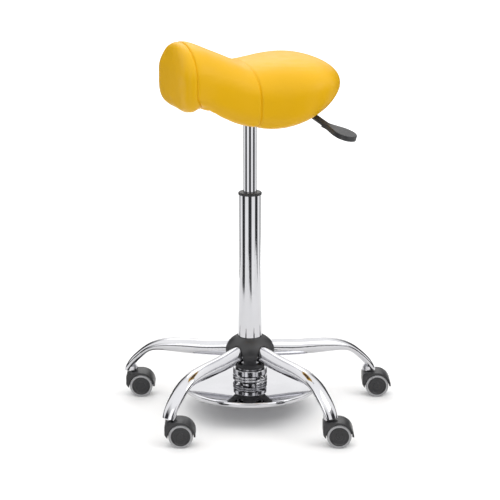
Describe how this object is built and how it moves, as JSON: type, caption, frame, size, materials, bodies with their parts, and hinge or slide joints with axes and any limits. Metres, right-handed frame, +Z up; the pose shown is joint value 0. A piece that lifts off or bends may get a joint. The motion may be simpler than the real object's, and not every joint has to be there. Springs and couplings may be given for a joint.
{
  "type": "adjustable swivel saddle stool",
  "caption": "Saddle stool on a gas column with a tilting seat, a tilt lever, a rocking foot release disc and a star base on swivel casters.",
  "frame": {"origin": "on the floor, on the axis of the column", "axes": "+Z up, the sitter faces -Y, +X is the left of the sitter"},
  "size_m": [0.5827, 0.5735, 0.7991],
  "materials": {
    "chrome_tube": "bright chrome plate on steel tube",
    "mirror_disc": "spun and mirror polished",
    "chrome_trim": "bright chrome plate, turned",
    "spring_steel": "plated round wire",
    "machined_steel": "turned and ground",
    "black_pressed_steel": "black powder coat",
    "black_plastic": "fine-grained moulded",
    "caster_plastic": "moulded nylon",
    "grey_tread": "soft moulded tread",
    "yellow_vinyl": "smooth semi-gloss upholstery vinyl",
    "seat_foam": "moulded polyurethane foam",
    "plywood": "sealed birch plywood"
  },
  "bodies": {
    "base": {"hub_core": "machined_steel", "hub_cover": "black_plastic", "release_collar": "chrome_trim", "leg_1": "chrome_tube", "leg_2": "chrome_tube", "leg_3": "chrome_tube", "leg_4": "chrome_tube", "leg_5": "chrome_tube", "caster_bushes": "chrome_tube", "column_sleeve": "chrome_tube", "standpipe": "machined_steel", "guide_bush": "black_plastic"},
    "rocker": {"rocker_ring": "machined_steel"},
    "disc": {"foot_disc": "mirror_disc", "disc_boss": "chrome_trim", "return_spring": "spring_steel"},
    "plunger": {"release_plunger": "machined_steel"},
    "spindle": {"piston_rod": "machined_steel", "thrust_bearing": "machined_steel"},
    "lift": {"gas_cylinder": "chrome_tube", "rod_guide": "black_plastic", "tilt_bracket": "black_pressed_steel", "tilt_pin": "machined_steel"},
    "seat": {"seat_plate": "black_pressed_steel", "seat_screws": "machined_steel", "seat_board": "plywood", "seat_foam": "seat_foam", "seat_cover": "yellow_vinyl"},
    "lever": {"lever_rod": "machined_steel", "lever_paddle": "black_plastic"},
    "caster_1": {"caster_1_hood": "caster_plastic", "caster_1_pins": "machined_steel"},
    "caster_1_left": {"caster_1_wheel_left": "caster_plastic", "caster_1_tread_left": "grey_tread"},
    "caster_1_right": {"caster_1_wheel_right": "caster_plastic", "caster_1_tread_right": "grey_tread"},
    "caster_2": {"caster_2_hood": "caster_plastic", "caster_2_pins": "machined_steel"},
    "caster_2_left": {"caster_2_wheel_left": "caster_plastic", "caster_2_tread_left": "grey_tread"},
    "caster_2_right": {"caster_2_wheel_right": "caster_plastic", "caster_2_tread_right": "grey_tread"},
    "caster_3": {"caster_3_hood": "caster_plastic", "caster_3_pins": "machined_steel"},
    "caster_3_left": {"caster_3_wheel_left": "caster_plastic", "caster_3_tread_left": "grey_tread"},
    "caster_3_right": {"caster_3_wheel_right": "caster_plastic", "caster_3_tread_right": "grey_tread"},
    "caster_4": {"caster_4_hood": "caster_plastic", "caster_4_pins": "machined_steel"},
    "caster_4_left": {"caster_4_wheel_left": "caster_plastic", "caster_4_tread_left": "grey_tread"},
    "caster_4_right": {"caster_4_wheel_right": "caster_plastic", "caster_4_tread_right": "grey_tread"},
    "caster_5": {"caster_5_hood": "caster_plastic", "caster_5_pins": "machined_steel"},
    "caster_5_left": {"caster_5_wheel_left": "caster_plastic", "caster_5_tread_left": "grey_tread"},
    "caster_5_right": {"caster_5_wheel_right": "caster_plastic", "caster_5_tread_right": "grey_tread"}
  },
  "joints": [
    {"name": "foot_rock_side", "type": "hinge", "parent": "base", "child": "rocker", "pos_m": [0, 0, 0.071], "axis": [0, 1, 0], "range_deg": [-2.5, 2.5], "stiffness_Nm_per_rad": 8},
    {"name": "foot_rock_front", "type": "hinge", "parent": "rocker", "child": "disc", "pos_m": [0, 0, 0.071], "axis": [1, 0, 0], "range_deg": [-2.5, 2.5], "stiffness_Nm_per_rad": 8},
    {"name": "release_push", "type": "slide", "parent": "base", "child": "plunger", "axis": [0, 0, 1], "range_m": [0, 0.003], "stiffness_N_per_m": 500},
    {"name": "seat_swivel", "type": "hinge", "parent": "base", "child": "spindle", "pos_m": [0, 0, 0.1], "axis": [0, 0, 1], "continuous": true},
    {"name": "seat_height", "type": "slide", "parent": "spindle", "child": "lift", "axis": [0, 0, 1], "range_m": [-0.13, 0.07]},
    {"name": "seat_tilt", "type": "hinge", "parent": "lift", "child": "seat", "pos_m": [0, -0.034, 0.674], "axis": [1, 0, 0], "range_deg": [-6, 6]},
    {"name": "tilt_lever", "type": "hinge", "parent": "seat", "child": "lever", "pos_m": [0.05406, 0.03786, 0.668], "axis": [-0.5736, 0.8192, 0], "range_deg": [0, 8], "stiffness_Nm_per_rad": 2, "springref_deg": -11.46},
    {"name": "caster_1_swivel", "type": "hinge", "parent": "base", "child": "caster_1", "pos_m": [0.26242, 0.07525, 0.0572], "axis": [0, 0, 1], "continuous": true},
    {"name": "caster_1_left_roll", "type": "hinge", "parent": "caster_1", "child": "caster_1_left", "pos_m": [0.26926, 0.09404, 0.025], "axis": [-0.9397, 0.342, 0], "continuous": true},
    {"name": "caster_1_right_roll", "type": "hinge", "parent": "caster_1", "child": "caster_1_right", "pos_m": [0.26926, 0.09404, 0.025], "axis": [-0.9397, 0.342, 0], "continuous": true},
    {"name": "caster_2_swivel", "type": "hinge", "parent": "base", "child": "caster_2", "pos_m": [0.00953, 0.27283, 0.0572], "axis": [0, 0, 1], "continuous": true},
    {"name": "caster_2_left_roll", "type": "hinge", "parent": "caster_2", "child": "caster_2_left", "pos_m": [0.01637, 0.29163, 0.025], "axis": [-0.9397, 0.342, 0], "continuous": true},
    {"name": "caster_2_right_roll", "type": "hinge", "parent": "caster_2", "child": "caster_2_right", "pos_m": [0.01637, 0.29163, 0.025], "axis": [-0.9397, 0.342, 0], "continuous": true},
    {"name": "caster_3_swivel", "type": "hinge", "parent": "base", "child": "caster_3", "pos_m": [-0.25654, 0.09337, 0.0572], "axis": [0, 0, 1], "continuous": true},
    {"name": "caster_3_left_roll", "type": "hinge", "parent": "caster_3", "child": "caster_3_left", "pos_m": [-0.2497, 0.11217, 0.025], "axis": [-0.9397, 0.342, 0], "continuous": true},
    {"name": "caster_3_right_roll", "type": "hinge", "parent": "caster_3", "child": "caster_3_right", "pos_m": [-0.2497, 0.11217, 0.025], "axis": [-0.9397, 0.342, 0], "continuous": true},
    {"name": "caster_4_swivel", "type": "hinge", "parent": "base", "child": "caster_4", "pos_m": [-0.16808, -0.21513, 0.0572], "axis": [0, 0, 1], "continuous": true},
    {"name": "caster_4_left_roll", "type": "hinge", "parent": "caster_4", "child": "caster_4_left", "pos_m": [-0.16123, -0.19633, 0.025], "axis": [-0.9397, 0.342, 0], "continuous": true},
    {"name": "caster_4_right_roll", "type": "hinge", "parent": "caster_4", "child": "caster_4_right", "pos_m": [-0.16123, -0.19633, 0.025], "axis": [-0.9397, 0.342, 0], "continuous": true},
    {"name": "caster_5_swivel", "type": "hinge", "parent": "base", "child": "caster_5", "pos_m": [0.15266, -0.22633, 0.0572], "axis": [0, 0, 1], "continuous": true},
    {"name": "caster_5_left_roll", "type": "hinge", "parent": "caster_5", "child": "caster_5_left", "pos_m": [0.1595, -0.20753, 0.025], "axis": [-0.9397, 0.342, 0], "continuous": true},
    {"name": "caster_5_right_roll", "type": "hinge", "parent": "caster_5", "child": "caster_5_right", "pos_m": [0.1595, -0.20753, 0.025], "axis": [-0.9397, 0.342, 0], "continuous": true}
  ]
}
